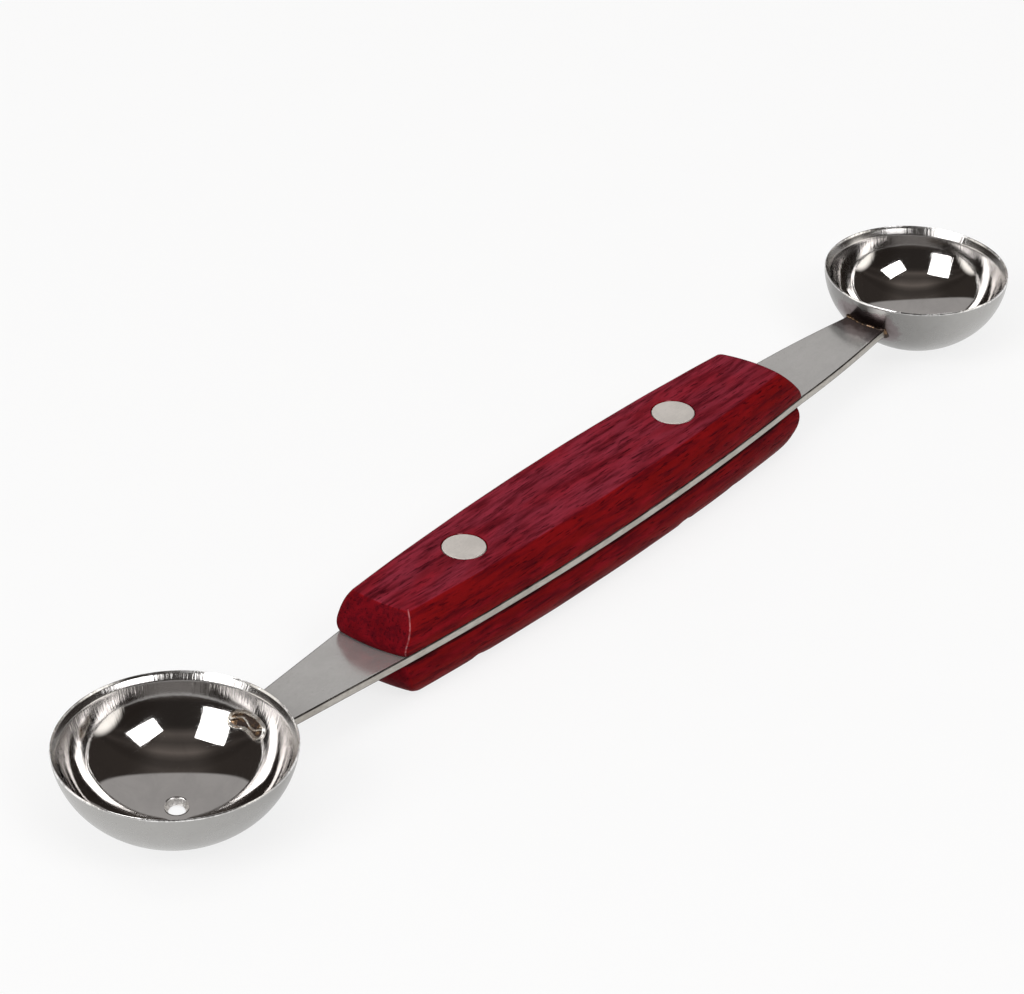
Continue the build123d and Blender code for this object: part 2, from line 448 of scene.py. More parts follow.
def around_axis(place, bowl):
    """Bowl's own coordinates, in metres: a circle round its axis and height, and the height alone."""
    moved = vector_calc("SUBTRACT", place, (bowl.centre_x * MM, 0.0, 0.0))
    outward = vector_calc("NORMALIZE", stretch(moved, (1.0, 1.0, 0.0)))
    circle = stretch(outward, (bowl.rim_radius * MM,) * 3)
    height = axes_of(place)["Z"]
    return vector_calc("ADD", circle, add(place.id_data, "CombineXYZ", Z=height).outputs[0]), height


def make_polished_steel(bowl):
    """Mirror-bright inside of a bowl, with upright brush strokes that fade out below the lip."""
    material, place = start_material(bowl.name + " polished inside")
    wrapped, height = around_axis(place, bowl)
    lines = brush(wrapped, 3.4, (1.0, 1.0, 0.05), 0.9)["Lines"]
    marks = mark(place, 0.25)
    lip = bowl.lip_foot * MM
    strong = spread(height, lip - 2.9 * MM, lip - 0.8 * MM)
    faint = spread(height, lip - 6.5 * MM, lip - 0.5 * MM)
    worked = add_shares(0.0, (strong, 0.6), (faint, 0.4))
    colour = blend_colours(marks["Smudges"], (0.64, 0.62, 0.607), (0.58, 0.563, 0.553))
    colour = lay_over(colour, faint, 0.5, (0.4, 0.385, 0.375))
    rough = add_shares(0.03, (worked, 0.15), (marks["Smudges"], 0.03), (marks["Scratches"], 0.05))
    return finish_material(material, colour, rough, 1.0, share_of(lines, worked), 0.75, 0.02)


def make_worked_steel(name, strokes, dark, light, roughs, relief, crisp=False, specks=0.0):
    """Bare steel as grinder, punch or shears left it, or darkened as painted shade: strokes as lines per mm,
    run and patchiness, two shades that part more sharply where crisp, least and most roughness, relief as
    strength and depth, and a share of dark specks."""
    material, place = start_material(name)
    lines = brush(place, *strokes)
    colour = blend_colours(spread(lines["Lines"], 0.1, 0.9) if crisp else lines["Lines"], dark, light)
    if specks:
        colour = lay_over(colour, mark(place, 0.5)["Specks"], specks, old_dirt)
    return finish_material(material, colour, vary(lines["Patches"], *roughs), 1.0, lines["Lines"], *relief)


def tinted_and_shaded(colour, tint_and_shade, shade_share):
    """A steel colour under its heat marks, and under the painted shade beyond them."""
    # Painted shade: the steel darkened far out from the weld, towards the handle
    colour = lay_over(colour, tint_and_shade["Shade"], shade_share, (0.17, 0.165, 0.16))
    colour = lay_over(colour, tint_and_shade["Rose"], 0.66, (0.17, 0.132, 0.137))
    return lay_over(colour, tint_and_shade["Burnt"], 0.85, (0.1, 0.075, 0.072))


def make_bowl_satin(bowl, reach):
    """Outside of a bowl: an even satin that runs round it, burnt beside the weld, and darkened towards the
    handle by painted shade.
    """
    material, place = start_material(bowl.name + " satin outside")
    lines = brush(place, 4.0, (0.4, 0.4, 1.0), 0.5)["Lines"]
    marks = mark(place, 0.2)
    tint_and_shade = use_group(heat_tint_and_shade, Position=place, Joint=bowl.joint(), Reach=reach)
    colour = blend_colours(lines, (0.42, 0.413, 0.4), (0.435, 0.43, 0.417))
    colour = tinted_and_shaded(lay_over(colour, marks["Specks"], 0.25, old_dirt), tint_and_shade, 0.7)
    rough = add_shares(0.25, (lines, 0.02), (marks["Smudges"], 0.06), (tint_and_shade["Rose"], -0.1))
    return finish_material(material, colour, rough, 1.0, lines, 0.05, 0.005)


def make_tang_satin(heat_and_shade_ends):
    """Rolled strip with a fine satin along it, heat-marked at both ends and faintly darkened there by painted
    shade, given by joint and reach.
    """
    material, place = start_material("tang satin")
    lines = brush(place, 5.0, along_handle, 0.5)["Lines"]
    marks = mark(place, 0.2)
    wear = use_group(edge_wear, Position=place, Width=0.2 * MM, Breakup=0.5)["Wear"]
    colour = blend_colours(lines, (0.63, 0.622, 0.61), (0.68, 0.672, 0.66))
    colour = lay_over(colour, marks["Specks"], 0.3, (0.3, 0.28, 0.26))
    colour = lay_over(colour, wear, 0.5, (0.88, 0.87, 0.85))
    for joint, reach in heat_and_shade_ends:
        colour = tinted_and_shaded(colour, use_group(heat_tint_and_shade, Position=place, Joint=joint, Reach=reach), 0.06)
    rough = add_shares(0.13, (lines, 0.05), (marks["Smudges"], 0.05))
    return finish_material(material, colour, rough, 0.75, lines, 0.15, 0.005)


def make_weld_steel():
    """Bare weld metal: lumpy, bright on top, blued and browned by heat in the hollows."""
    material, place = start_material("weld metal")
    heat = noise_value(in_millimetres(place), 0.55, detail=4.0)
    ripple = noise_value(in_millimetres(place), 2.2)
    colour = colour_ramp(heat, (
        (0.34, (0.72, 0.7, 0.67)), (0.5, (0.64, 0.61, 0.56)), (0.6, (0.46, 0.4, 0.34)),
        (0.7, (0.26, 0.22, 0.2))))
    colour = lay_over(colour, mark(place, 0.8)["Specks"], 0.5, (0.12, 0.1, 0.09))
    return finish_material(material, colour, vary(ripple, 0.16, 0.38), 1.0, ripple, 0.35, 0.06)


def make_bead_metal():
    """Metal of the weld beads and of the prints' hollows: dark scale with golden and white ripples."""
    material, place = start_material("weld bead")
    ripple = noise_value(in_millimetres(place), 0.95, detail=4.0)
    colour = blend_colours(spread(ripple, 0.45, 0.6), (0.05, 0.037, 0.032), (0.2, 0.125, 0.07))
    colour = blend_colours(spread(ripple, 0.62, 0.68), colour, (0.8, 0.77, 0.72))
    colour = lay_over(colour, mark(place, 0.8)["Specks"], 0.4, (0.05, 0.04, 0.035))
    return finish_material(material, colour, vary(ripple, 0.35, 0.15), 1.0, ripple, 0.5, 0.08)


def seam_shade(place, width):
    """Painted shade along the seam beside the tang, in uneven lengths."""
    from_tang = calc("ABSOLUTE", calc("SUBTRACT", axes_of(place)["Z"], tang_middle * MM))
    face = tang_thickness / 2 * MM
    seam = spread(from_tang, face + width * MM / 2, face + width * MM, 1.0, 0.0)
    lengths = noise_value(stretch(place, (1 / MM, 1 / MM, 0.0)), 0.12)
    return share_of(seam, spread(lengths, 0.35, 0.6, 0.4, 0.95))


def make_stained_wood(name, board, highlight_share, darker, seam_shade_width):
    """Hardwood under a deep red stain, finished to a low sheen, with a painted sheen on its broad face, a
    painted reflection on its shoulders, a painted highlight on one upright corner and painted shade along the
    seam.
    """
    material, place = start_material(name)
    grain = use_group(wood_grain, Position=place, Board=board)
    wear = use_group(edge_wear, Position=place, Width=0.3 * MM, Breakup=0.8)["Wear"]
    highlight = use_group(corner_highlight, Position=place)["Highlight"]
    colour = blend_colours(grain["Figure"], (0.125, 0.003, 0.005), (0.25, 0.0066, 0.0125))
    for factor, over in (
            # painted reflection of the dark room on the shoulders
            (share_of(grain["Shoulder reflection"], 0.65), (0.185, 0.0052, 0.0048)),
            # painted sheen on the broad face
            (share_of(grain["Painted sheen"], 0.66), (0.262, 0.033, 0.057)),
            (share_of(grain["End"], 0.55), (0.1, 0.003, 0.0065)),
            (share_of(grain["Streaks"], 0.8), (0.07, 0.003, 0.0065)),
            (share_of(grain["Pores"], 0.75), (0.03, 0.0015, 0.004)),
            (share_of(wear, 0.15), (0.34, 0.03, 0.05)),
            (darker, (0.03, 0.003, 0.006)),
            # painted highlight on the upright corner
            (share_of(highlight, highlight_share), (0.62, 0.26, 0.27)),
            # painted shade along the seam beside the tang
            (seam_shade(place, seam_shade_width), (0.012, 0.003, 0.004))):
        colour = blend_colours(factor, colour, over)
    smudges = mark(place, 0.12)["Smudges"]
    rough = add_shares(0.32, (grain["Streaks"], 0.1), (smudges, 0.08), (grain["Pores"], 0.2))
    hollows = add_shares(0.0, (grain["Pores"], -0.7), (grain["Streaks"], -0.3))
    material.node_tree.nodes["Principled BSDF"].inputs["IOR"].default_value = 1.05
    return finish_material(material, colour, rough, 0.0, hollows, 0.5, 0.05)


def make_rivet_metal():
    """Soft pale grey metal, ground flush with the wood."""
    material, place = start_material("rivet metal")
    lines = brush(place, 5.0, along_handle, 0.8)["Lines"]
    colour = blend_colours(lines, (0.57, 0.535, 0.5), (0.65, 0.61, 0.57))
    colour = lay_over(colour, mark(place, 0.6)["Specks"], 0.4, (0.25, 0.23, 0.2))
    return finish_material(material, colour, spread(lines, 0.0, 1.0, 0.5, 0.62), 0.3, lines, 0.25, 0.02)


def make_pale_floor():
    """Pale matt sweep that reads as white, and still takes a soft shadow."""
    material, place = start_material("pale floor")
    tree = material.node_tree
    shader = tree.nodes["Principled BSDF"]
    speckle = noise_value(place, 90.0, detail=2.0)
    connect(shader, "Roughness", 0.9)
    connect(shader, "Base Color", blend_colours(speckle, (0.84, 0.84, 0.84), (0.87, 0.87, 0.87)))
    glow = add(tree, "Emission", Color=(1, 1, 1, 1), Strength=1.0)
    paths = add(tree, "LightPath").outputs
    seen = calc("MAXIMUM", paths["Is Camera Ray"], paths["Is Glossy Ray"])
    seen = calc("MAXIMUM", seen, paths["Is Transmission Ray"])
    sources = {0: share_of(seen, 0.79), 1: shader.outputs[0], 2: glow.outputs[0]}
    connect(tree.nodes["Material Output"], "Surface", add_numbered("MixShader", {}, sources)[0])
    return material


# Meshes

def place_object(name, data):
    """A new object in the scene."""
    placed = bpy.data.objects.new(name, data)
    bpy.context.scene.collection.objects.link(placed)
    return placed


def mesh_piece(name, points, faces, materials, face_slots=None, sharp=None):
    """A smooth-shaded object from points in millimetres, set in the part's own frame."""
    mesh = bpy.data.meshes.new(name)
    mesh.from_pydata([tuple(axis * MM for axis in point) for point in points], [], faces)
    mesh.validate()
    mesh.shade_smooth()
    for material in materials:
        mesh.materials.append(material)
    if face_slots:
        mesh.polygons.foreach_set("material_index", face_slots)
    if sharp:
        mesh.set_sharp_from_angle(angle=math.radians(sharp))
    return place_object(name, mesh)


def keep_piece(piece, slot, *replaced):
    """A finished piece of the object, with the solids it stands for; the slot it is given is not used."""
    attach(piece, "root")
    if replaced:
        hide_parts(*replaced)


def joined_rows(rows, closed=False):
    """Points and four-sided faces of rows that each close on themselves."""
    points = [point for row in rows for point in row]
    sides = len(rows[0])
    faces = []
    for number in range(len(rows) if closed else len(rows) - 1):
        first, second = number * sides, (number + 1) % len(rows) * sides
        for side in range(sides):
            after = (side + 1) % sides
            faces.append((first + side, first + after, second + after, second + side))
    return points, faces


def stacked_piece(name, rows, materials, band_slots=None, sharp=None):
    """A closed solid from loops stacked upwards, with flat caps below and above."""
    points, faces = joined_rows(rows)
    sides = len(rows[0])
    faces.append(tuple(range(sides))[::-1])
    faces.append(tuple(range(len(points) - sides, len(points))))
    slots = None
    if band_slots:
        slots = [slot for slot in band_slots for _ in range(sides)] + [0, 0]
    return mesh_piece(name, points, faces, materials, slots, sharp=sharp)


def quarter_round(size, steps):
    """Inset and height of the points on an eased edge, from its flat to its side."""
    leans = [math.pi / 2 * step / steps for step in range(steps + 1)]
    return [(size * (1 - math.sin(lean)), size * (1 - math.cos(lean))) for lean in leans]


def smooth_step(value):
    """A share clamped and eased at both ends."""
    value = min(1.0, max(0.0, value))
    return value * value * (3 - 2 * value)


def circle_through(first, middle, last):
    """Centre and radius of the circle through three points in a plane."""
    (ax, ay), (bx, by), (cx, cy) = first, middle, last
    area = 2 * (ax * (by - cy) + bx * (cy - ay) + cx * (ay - by))
    a, b, c = ax * ax + ay * ay, bx * bx + by * by, cx * cx + cy * cy
    x = (a * (by - cy) + b * (cy - ay) + c * (ay - by)) / area
    y = (a * (cx - bx) + b * (ax - cx) + c * (bx - ax)) / area
    return x, y, math.hypot(ax - x, ay - y)


def arc_value(first, middle, last, height):
    """First coordinate, at a height, on the arc through three (value, height) points."""
    x, y, size = circle_through(first, middle, last)
    reach = math.sqrt(max(0.0, size * size - (height - y) ** 2))
    return x + math.copysign(reach, middle[0] - x)


class Bowl:
    """One bowl's wall, from the same arcs as its solid. In its own frame the handle is at +X
    and z = 0 is the lip's foot."""

    def __init__(self, node, depth, bevel_height, heading):
        low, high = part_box(node)
        self.name = node
        self.bevel_height = bevel_height
        self.rim_radius = (high.y - low.y) / 2 / MM
        cap_height = depth - lip_rise
        plain = (self.rim_radius ** 2 + cap_height ** 2) / (2 * cap_height)
        self.bottom_radius = plain * (1 + flatness_share)
        self.bottom_z = self.bottom_radius - cap_height
        across, down = math.sin(shoulder_angle), math.cos(shoulder_angle)
        spare = self.bottom_radius - self.rim_radius * across - self.bottom_z * down
        shift = cap_height * (self.bottom_radius - plain) / spare
        self.shoulder_radius = self.bottom_radius - shift
        self.shoulder_x = shift * across
        self.shoulder_z = self.bottom_z - shift * down
        self.lip_foot = self.bottom_radius - self.bottom_z * math.cos(bowl_tip)
        self.centre_x = (low.x + high.x) / 2 / MM
        self.facing = math.cos(heading)
        self.stand = Matrix.Translation((self.centre_x, 0, 0)) @ Matrix.Rotation(heading, 4, "Z")
        lift = Matrix.Translation((0, 0, self.lip_foot))
        self.place = self.stand @ lift @ Matrix.Rotation(-bowl_tip, 4, "Y")

    def wall_point(self, angle, inset):
        """Radius, z and outward direction at an angle up the wall from the bottom."""
        across, down = math.sin(angle), -math.cos(angle)
        if angle <= shoulder_angle:
            size, x, z = self.bottom_radius - inset, 0.0, self.bottom_z
        else:
            size, x, z = self.shoulder_radius - inset, self.shoulder_x, self.shoulder_z
        return x + size * across, z + size * down, across, down

    def lip_angle(self, inset):
        """Angle at which the wall reaches the lip's foot."""
        return math.pi / 2 - math.asin(self.shoulder_z / (self.shoulder_radius - inset))

    def outer_wall_x(self, y, z):
        """How far out the outer wall lies on the handle's side, by width and height above the table."""
        height = z - self.lip_foot
        reach = self.shoulder_x + math.sqrt(self.shoulder_radius ** 2 - (height - self.shoulder_z) ** 2)
        return math.sqrt(reach * reach - y * y)

    def joint(self):
        """Where the tang's top meets the outer wall, in metres."""
        x = self.outer_wall_x(0.0, tang_top)
        return (self.centre_x + self.facing * x) * MM, 0.0, tang_top * MM


def skin_rows(bowl, inset, lip_inset, hole, sides, rings, bevel_rings):
    """Rings of one skin of the wall, from the vent's edge to the lip's foot. Close below the lip
    the inset changes to the lip's own, on a ground bevel that is faintly hollow."""
    fade_end = vent_fade_share * bowl.rim_radius
    start = math.asin(hole / (bowl.bottom_radius - inset))
    bevel = bowl.lip_angle(inset) - bowl.bevel_height / bowl.shoulder_radius
    end = bowl.lip_angle(lip_inset)
    angles = [(start + (bevel - start) * (ring / rings) ** 1.1, 0.0) for ring in range(rings + 1)]
    for ring in range(1, bevel_rings + 1):
        share = ring / bevel_rings
        ground = bevel_straight_share * share + (1 - bevel_straight_share) * share * share
        angles.append((bevel + (end - bevel) * share, ground))
    rows = []
    for angle, ground in angles:
        depth = inset + (lip_inset - inset) * ground
        radius, z = bowl.wall_point(angle, depth)[:2]
        hold = 1 - smooth_step((radius - hole) / (fade_end - hole))
        burr = 0.0
        if inset:
            burr = vent_burr * math.exp(-((radius - hole - vent_burr_width) / vent_burr_width) ** 2)
        row = []
        for side in range(sides):
            theta = TURN * side / sides
            x = radius * math.cos(theta) + hold * vent_offset[0]
            y = radius * math.sin(theta) + hold * vent_offset[1]
            height = z
            if hold:
                reach = bowl.bottom_radius - depth
                height = bowl.bottom_z - math.sqrt(reach * reach - x * x - y * y)
            row.append((x, y, height + burr))
        rows.append(row)
    return rows


def rows_between(first, last, steps, rise):
    """Rings that lead from one ring to another, bulging upwards by a rise."""
    rows = []
    for step in range(1, steps):
        share = step / steps
        swell = rise * (1 - (2 * share - 1) ** 2)
        rows.append([
            tuple(a + (b - a) * share + (swell if axis == 2 else 0) for axis, (a, b) in enumerate(zip(p, q)))
            for p, q in zip(first, last)
        ])
    return rows


def make_bowl_shell(bowl, inside, outside, lip, punched):
    """The pressed wall: two skins, a ground lip, and a vent punched from inside, so it narrows downwards."""
    sides, rings, bevel_rings, lip_steps, hole_steps = 184, 46, 7, 5, 5
    inner = skin_rows(bowl, bowl_wall, lip_wall, vent_radius, sides, rings, bevel_rings)
    outer = skin_rows(bowl, 0.0, 0.0, vent_foot_radius, sides, rings, bevel_rings)
    lip_rows = rows_between(outer[-1], inner[-1], lip_steps, lip_rise)
    hole_rows = []
    for row in rows_between(inner[0], outer[0], hole_steps, 0.0):
        hole_rows.append([(x, y, z - vent_drag_share * bowl_wall) for x, y, z in row])
    points, faces = joined_rows(outer + lip_rows + inner[::-1] + hole_rows, closed=True)
    slots = []
    rings += bevel_rings
    for count, slot in ((rings, 1), (lip_steps, 2), (rings, 0), (hole_steps, 3)):
        slots += [slot] * count * sides
    placed = [bowl.place @ Vector(point) for point in points]
    piece = mesh_piece(bowl.name + "_shell", placed, faces, [inside, outside, lip, punched], slots, sharp=50)
    keep_piece(piece, "bowl_steel", bowl.name)


def print_height(across, up):
    """Weld print seen from inside: a bean-shaped ridge round a hollow, with a wavy ridge in it.
    Gives the height, and how much of the hollow's floor shows."""
    nearest = min(
        math.hypot(across - spine * print_half_length, up - (print_bend * (1 - spine * spine) - print_droop))
        for spine in [step / 12 - 1 for step in range(25)]
    )
    lumps = noise.noise(Vector((across * ridge_lump_pitch, up * ridge_lump_pitch, 4.0)))
    ridge = ridge_height * math.exp(-((nearest - print_half_height) / ridge_width) ** 2)
    hollow = 1 - smooth_step((nearest - hollow_reach) / hollow_edge)
    crest = wave_swing * math.sin(across * wave_pitch)
    wave = math.exp(-((up - crest - wave_lift) / wave_width) ** 2) * hollow
    apron = 1 - smooth_step((nearest - print_half_height) / apron_edge)
    height = ridge * (1 + ridge_unevenness * lumps) + wave_height * wave - patch_sink + apron_height * apron
    return height, hollow * (1 - wave)


def make_weld_print(bowl, ridge_metal, hollow_metal):
    """The weld's print on the inside wall, opposite the tang's end, rooted in the wall."""
    columns, lines = 84, 48
    middle = tang_middle + print_lift - bowl.lip_foot
    size = bowl.shoulder_radius - bowl_wall
    centre_angle = math.pi / 2 + math.asin((middle - bowl.shoulder_z) / size)
    rows, slots = [], []
    for line in range(lines + 1):
        up = patch_half_height * (2 * line / lines - 1)
        radius, z, outward, down = bowl.wall_point(centre_angle + up / size, bowl_wall)
        face, back = [], []
        for column in range(columns + 1):
            across = patch_half_width * (2 * column / columns - 1)
            proud, bare = print_height(across, up)
            theta = across / radius
            for height, side in ((proud, face), (-print_root, back)):
                reach = radius - height * outward
                side.append(bowl.place @ Vector((
                    reach * math.cos(theta), reach * math.sin(theta), z - height * down)))
            if line < lines:
                slots.append(1 if bare > 0.5 else 0)
        rows.append(face + back[::-1])
        if line < lines:
            slots += [0] * (columns + 1)
    points, faces = joined_rows(rows)
    sides = len(rows[0])
    faces = [corners[::-1] for corners in faces]
    faces += [tuple(range(sides)), tuple(range(len(points) - sides, len(points)))[::-1]]
    metals = [ridge_metal, hollow_metal]
    piece = mesh_piece(bowl.name + "_weld_print", points, faces, metals, slots + [0, 0], sharp=60)
    keep_piece(piece, "weld_steel", bowl.name + "_weld")


def make_weld_bead(bowl, metal):
    """A small uneven bead of weld round the tang's end, on the outside of the bowl."""
    around, section = 140, 14
    half_width, half_height = tang_tip_width / 2 - bead_overlap, tang_thickness / 2 - bead_overlap
    perimeter = 4 * (half_width + half_height)
    rows = []
    for step in range(around):
        run = perimeter * step / around
        if run < 2 * half_width:
            y, z = half_width - run, half_height
        elif run < 2 * (half_width + half_height):
            y, z = -half_width, half_height - (run - 2 * half_width)
        elif run < 4 * half_width + 2 * half_height:
            y, z = run - 3 * half_width - 2 * half_height, -half_height
        else:
            y, z = half_width, run - 4 * half_width - 3 * half_height
        out = Vector((y / half_width * bead_side_lean, z / half_height)).normalized()
        if abs(y) >= half_width:
            out = Vector((math.copysign(1, y), z / half_height * bead_corner_lean)).normalized()
        lumps = noise.noise(Vector((y * bead_lump_pitch, z * bead_lump_pitch, bowl.centre_x)))
        size = weld_bead_radius * (bead_mean_share + bead_swing_share * lumps)
        x = bowl.outer_wall_x(y, tang_middle + z) - bead_overlap
        turns = [TURN * part / section for part in range(section)]
        rows.append([
            (x + math.cos(turn) * size, y + out.x * math.sin(turn) * size, z + out.y * math.sin(turn) * size)
            for turn in turns
        ])
    points, faces = joined_rows(rows, closed=True)
    lift = Matrix.Translation((0, 0, tang_middle))
    placed = [bowl.stand @ lift @ Vector(point) for point in points]
    keep_piece(mesh_piece(bowl.name + "_weld_bead", placed, faces, [metal]), "weld_steel")


def plan_half_width(x, swell=0.0):
    """Half of the handle's width at a place along it, where the scales meet the tang."""
    rise = (handle_mid_width - handle_end_width) / 2
    size = (handle_length ** 2 / 4 + rise ** 2) / (2 * rise)
    return math.sqrt((size + swell) ** 2 - (x - handle_centre_x) ** 2) - (size - handle_mid_width / 2)


def tang_outline():
    """The tang's +Y edge from the large bowl to the small one, as (x, half width) points."""
    ends = [handle_centre_x - handle_length / 2, handle_centre_x + handle_length / 2]
    tip, shoulder = tang_tip_width / 2, handle_end_width / 2
    large_x = large.centre_x + large.outer_wall_x(0.0, tang_middle) - tang_root
    small_x = small.centre_x - small.outer_wall_x(0.0, tang_middle) + tang_root
    joints = [large.centre_x + large.rim_radius, small.centre_x - small.rim_radius]
    edge = []
    for share in [step / 12 for step in range(13)]:
        x = large_x + (ends[0] - large_x) * share
        width = tip + (shoulder - tip) * max(0.0, (x - joints[0]) / (ends[0] - joints[0]))
        edge.append((x, width))
    for step in range(1, 60):
        x = ends[0] + handle_length * step / 60
        edge.append((x, plan_half_width(x)))
    for share in [step / 16 for step in range(17)]:
        x = ends[1] + (small_x - ends[1]) * share
        width = tip
        if x < joints[1]:
            across = (x - ends[1]) / (joints[1] - ends[1])
            width = shoulder + (tip - shoulder) * across + small_neck_swell * 4 * across * (1 - across)
        edge.append((x, width))
    return edge


def make_tang(face_metal, edge_metal, corner_shade_metal):
    """The flat strip from bowl to bowl, with its edges eased and painted dark as shade."""
    edge = tang_outline()
    rows = []
    steps = 4
    levels = [(tang_edge_round + tang_face_margin, 0.0)] + quarter_round(tang_edge_round, steps)
    levels += [(inset, tang_thickness - height) for inset, height in reversed(levels)]
    for inset, height in levels:
        kept = [(min(max(x, edge[0][0] + inset), edge[-1][0] - inset), width - inset) for x, width in edge]
        near = [(x, -width, tang_underside + height) for x, width in kept]
        far = [(x, width, tang_underside + height) for x, width in reversed(kept)]
        rows.append(near + far)
    # The eased edges take the painted shade, a dark line along each edge of the strip
    band_slots = [0] + [2] * steps + [1] + [2] * steps + [0]
    piece = stacked_piece("tang_strip", rows, [face_metal, edge_metal, corner_shade_metal], band_slots, sharp=50)
    hole = rivet_tube_diameter / 2 + rivet_gap
    bore_piece(piece, [(hole, tang_underside - cut_overrun), (hole, tang_top + cut_overrun)], 50)
    keep_piece(piece, "tang_steel", "tang")


def end_inset(shares, height):
    """How far a scale's end lies in from its seat line at a height."""
    seat, belly, knee, crown, top = [(i * scale_thickness, h * scale_thickness) for i, h in shares]
    if height <= knee[1]:
        return arc_value(seat, belly, knee, height)
    return arc_value(knee, crown, top, height)


def side_swell(height):
    """How far a scale's side lies out from its seat line at a height."""
    return arc_value((0.0, 0.0), (side_belly, side_belly_height), (-side_top_inset, scale_thickness), height)


def flat_outline():
    """A plain rectangle with rounded corners, as long and wide as a scale's end, that scale_loop bends."""
    half_length, half_width = handle_length / 2, handle_end_width / 2
    core_x, core_y = half_length - scale_corner_round, half_width - scale_corner_round
    flat = []
    for corner_x, corner_y, start in ((1, 1, 0), (-1, 1, 1), (-1, -1, 2), (1, -1, 3)):
        for step in range(7):
            angle = math.pi / 2 * (start + step / 6)
            flat.append((
                corner_x * core_x + scale_corner_round * math.cos(angle),
                corner_y * core_y + scale_corner_round * math.sin(angle)))
        if start % 2 == 0:
            steps = [1 - 2 * step / 72 for step in range(1, 72)]
            flat += [(core_x * corner_x * step, half_width * corner_y) for step in steps]
        else:
            steps = [1 - 2 * step / 20 for step in range(1, 20)]
            flat += [(half_length * corner_x, core_y * corner_y * step) for step in steps]
    return flat


def scale_loop(shares, height, inset, nicks, seed):
    """One level outline of a scale: sides, ends and rounded upright corners, moved inwards by an inset."""
    half_length, half_width = handle_length / 2, handle_end_width / 2
    swell = side_swell(height)
    reach = math.sqrt(end_bow_radius ** 2 - end_skew ** 2)
    insets = [end_inset(end, height) for end in shares]
    loop = []
    for flat_x, flat_y in flat_outline():
        along, across = (flat_x / half_length + 1) / 2, flat_y / half_width
        x, y = handle_centre_x + flat_x, flat_y
        for _ in range(4):
            low = handle_centre_x - half_length + reach - math.sqrt(
                (end_bow_radius - insets[0]) ** 2 - (y - end_skew) ** 2)
            high = handle_centre_x + half_length - reach + math.sqrt(
                (end_bow_radius - insets[1]) ** 2 - (y + end_skew) ** 2)
            x = low + (high - low) * along
            y = across * plan_half_width(x, swell)
        loop.append(Vector((x, y)))
    moved = []
    pitch_x, pitch_y, pitch_up = wander_pitches
    for number, point in enumerate(loop):
        ahead = loop[(number + 1) % len(loop)] - loop[number - 1]
        inward = Vector((-ahead.y, ahead.x)).normalized()
        spot = Vector((point.x * pitch_x, point.y * pitch_y, seed + height * pitch_up))
        wander = sanding_wander * noise.noise(spot)
        dent = sum(
            depth * math.exp(-((point.x - at) / width) ** 2)
            for at, width, depth in nicks if point.y < 0
        )
        dent *= smooth_step((height / scale_thickness - nick_foot_share) / (1 - nick_foot_share))
        moved.append(point + inward * (inset + wander + dent + sanding_wander))
    return moved


def make_scale_piece(name, node, wood, shares, outward, nicks, seed):
    """One handle scale: crowned, bowed at the ends, edges eased, and bored for its rivets."""
    levels = [(scale_seat_margin, 0.0)] + quarter_round(scale_seat_round, 2)
    body = scale_thickness - scale_edge_round - scale_seat_round
    levels += [(0.0, scale_seat_round + body * step / 12) for step in range(1, 12)]
    levels += [(inset, scale_thickness - drop) for inset, drop in reversed(quarter_round(scale_edge_round, 5))]
    levels.append((scale_edge_round + scale_face_margin, scale_thickness))
    face = tang_top if outward > 0 else tang_underside
    rows = []
    for inset, height in levels:
        loop = scale_loop(shares, height, inset, nicks, seed)
        rows.append([(point.x, point.y, face + outward * height) for point in loop])
    piece = stacked_piece(name, rows[::outward], [wood], sharp=40)
    bore_piece(piece, head_recess(face, outward), 40)
    keep_piece(piece, "scale_wood", node)


def turned_rows(profile, x, sides=64):
    """Rings turned about an upright axis at x, from (radius, height) points."""
    return [
        [(x + radius * math.cos(TURN * side / sides), radius * math.sin(TURN * side / sides), height)
         for side in range(sides)]
        for radius, height in profile
    ]


def rivet_places():
    """Where the two rivets stand along the handle."""
    for end in ("large_end", "small_end"):
        low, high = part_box(end + "_rivet_post")
        yield end, (low.x + high.x) / 2 / MM


def bore_piece(piece, profile, sharp):
    """Cut a turned hole through a piece at each rivet."""
    cutters = []
    for _, x in rivet_places():
        cutters.append(stacked_piece("cutter", turned_rows(profile, x), []))
        cut = piece.modifiers.new("bore", "BOOLEAN")
        cut.object = cutters[-1]
        cut.solver = "EXACT"
    bpy.context.view_layer.update()
    bored = bpy.data.meshes.new_from_object(piece.evaluated_get(bpy.context.evaluated_depsgraph_get()))
    bored.shade_smooth()
    bored.set_sharp_from_angle(angle=math.radians(sharp))
    piece.modifiers.clear()
    piece.data = bored
    for cutter in cutters:
        bpy.data.objects.remove(cutter)


def head_recess(face, outward):
    """Profile of the stepped hole through a scale, with a slightly crushed mouth."""
    shank, head = rivet_tube_diameter / 2 + rivet_gap, rivet_head_diameter / 2 + rivet_gap
    outer_face = face + outward * scale_thickness
    step = outer_face - outward * rivet_head_thickness
    profile = [(shank, face - outward * cut_overrun), (shank, step), (head, step)]
    profile += [(head + wider, outer_face - outward * depth) for wider, depth in mouth_depths]
    profile.append((head + mouth_depths[-1][0], outer_face + outward * cut_overrun))
    return profile[::outward]


def eased_head(face, inward):
    """Profile of a rivet head from its underside to its face."""
    head, ease = rivet_head_diameter / 2, rivet_edge_round
    profile = [(head, face + inward * rivet_head_thickness)]
    profile += [(head - inset, face + inward * depth) for inset, depth in reversed(quarter_round(ease, 4))]
    return profile + [(head - ease - rivet_face_margin, face), (head * 0.5, face)]


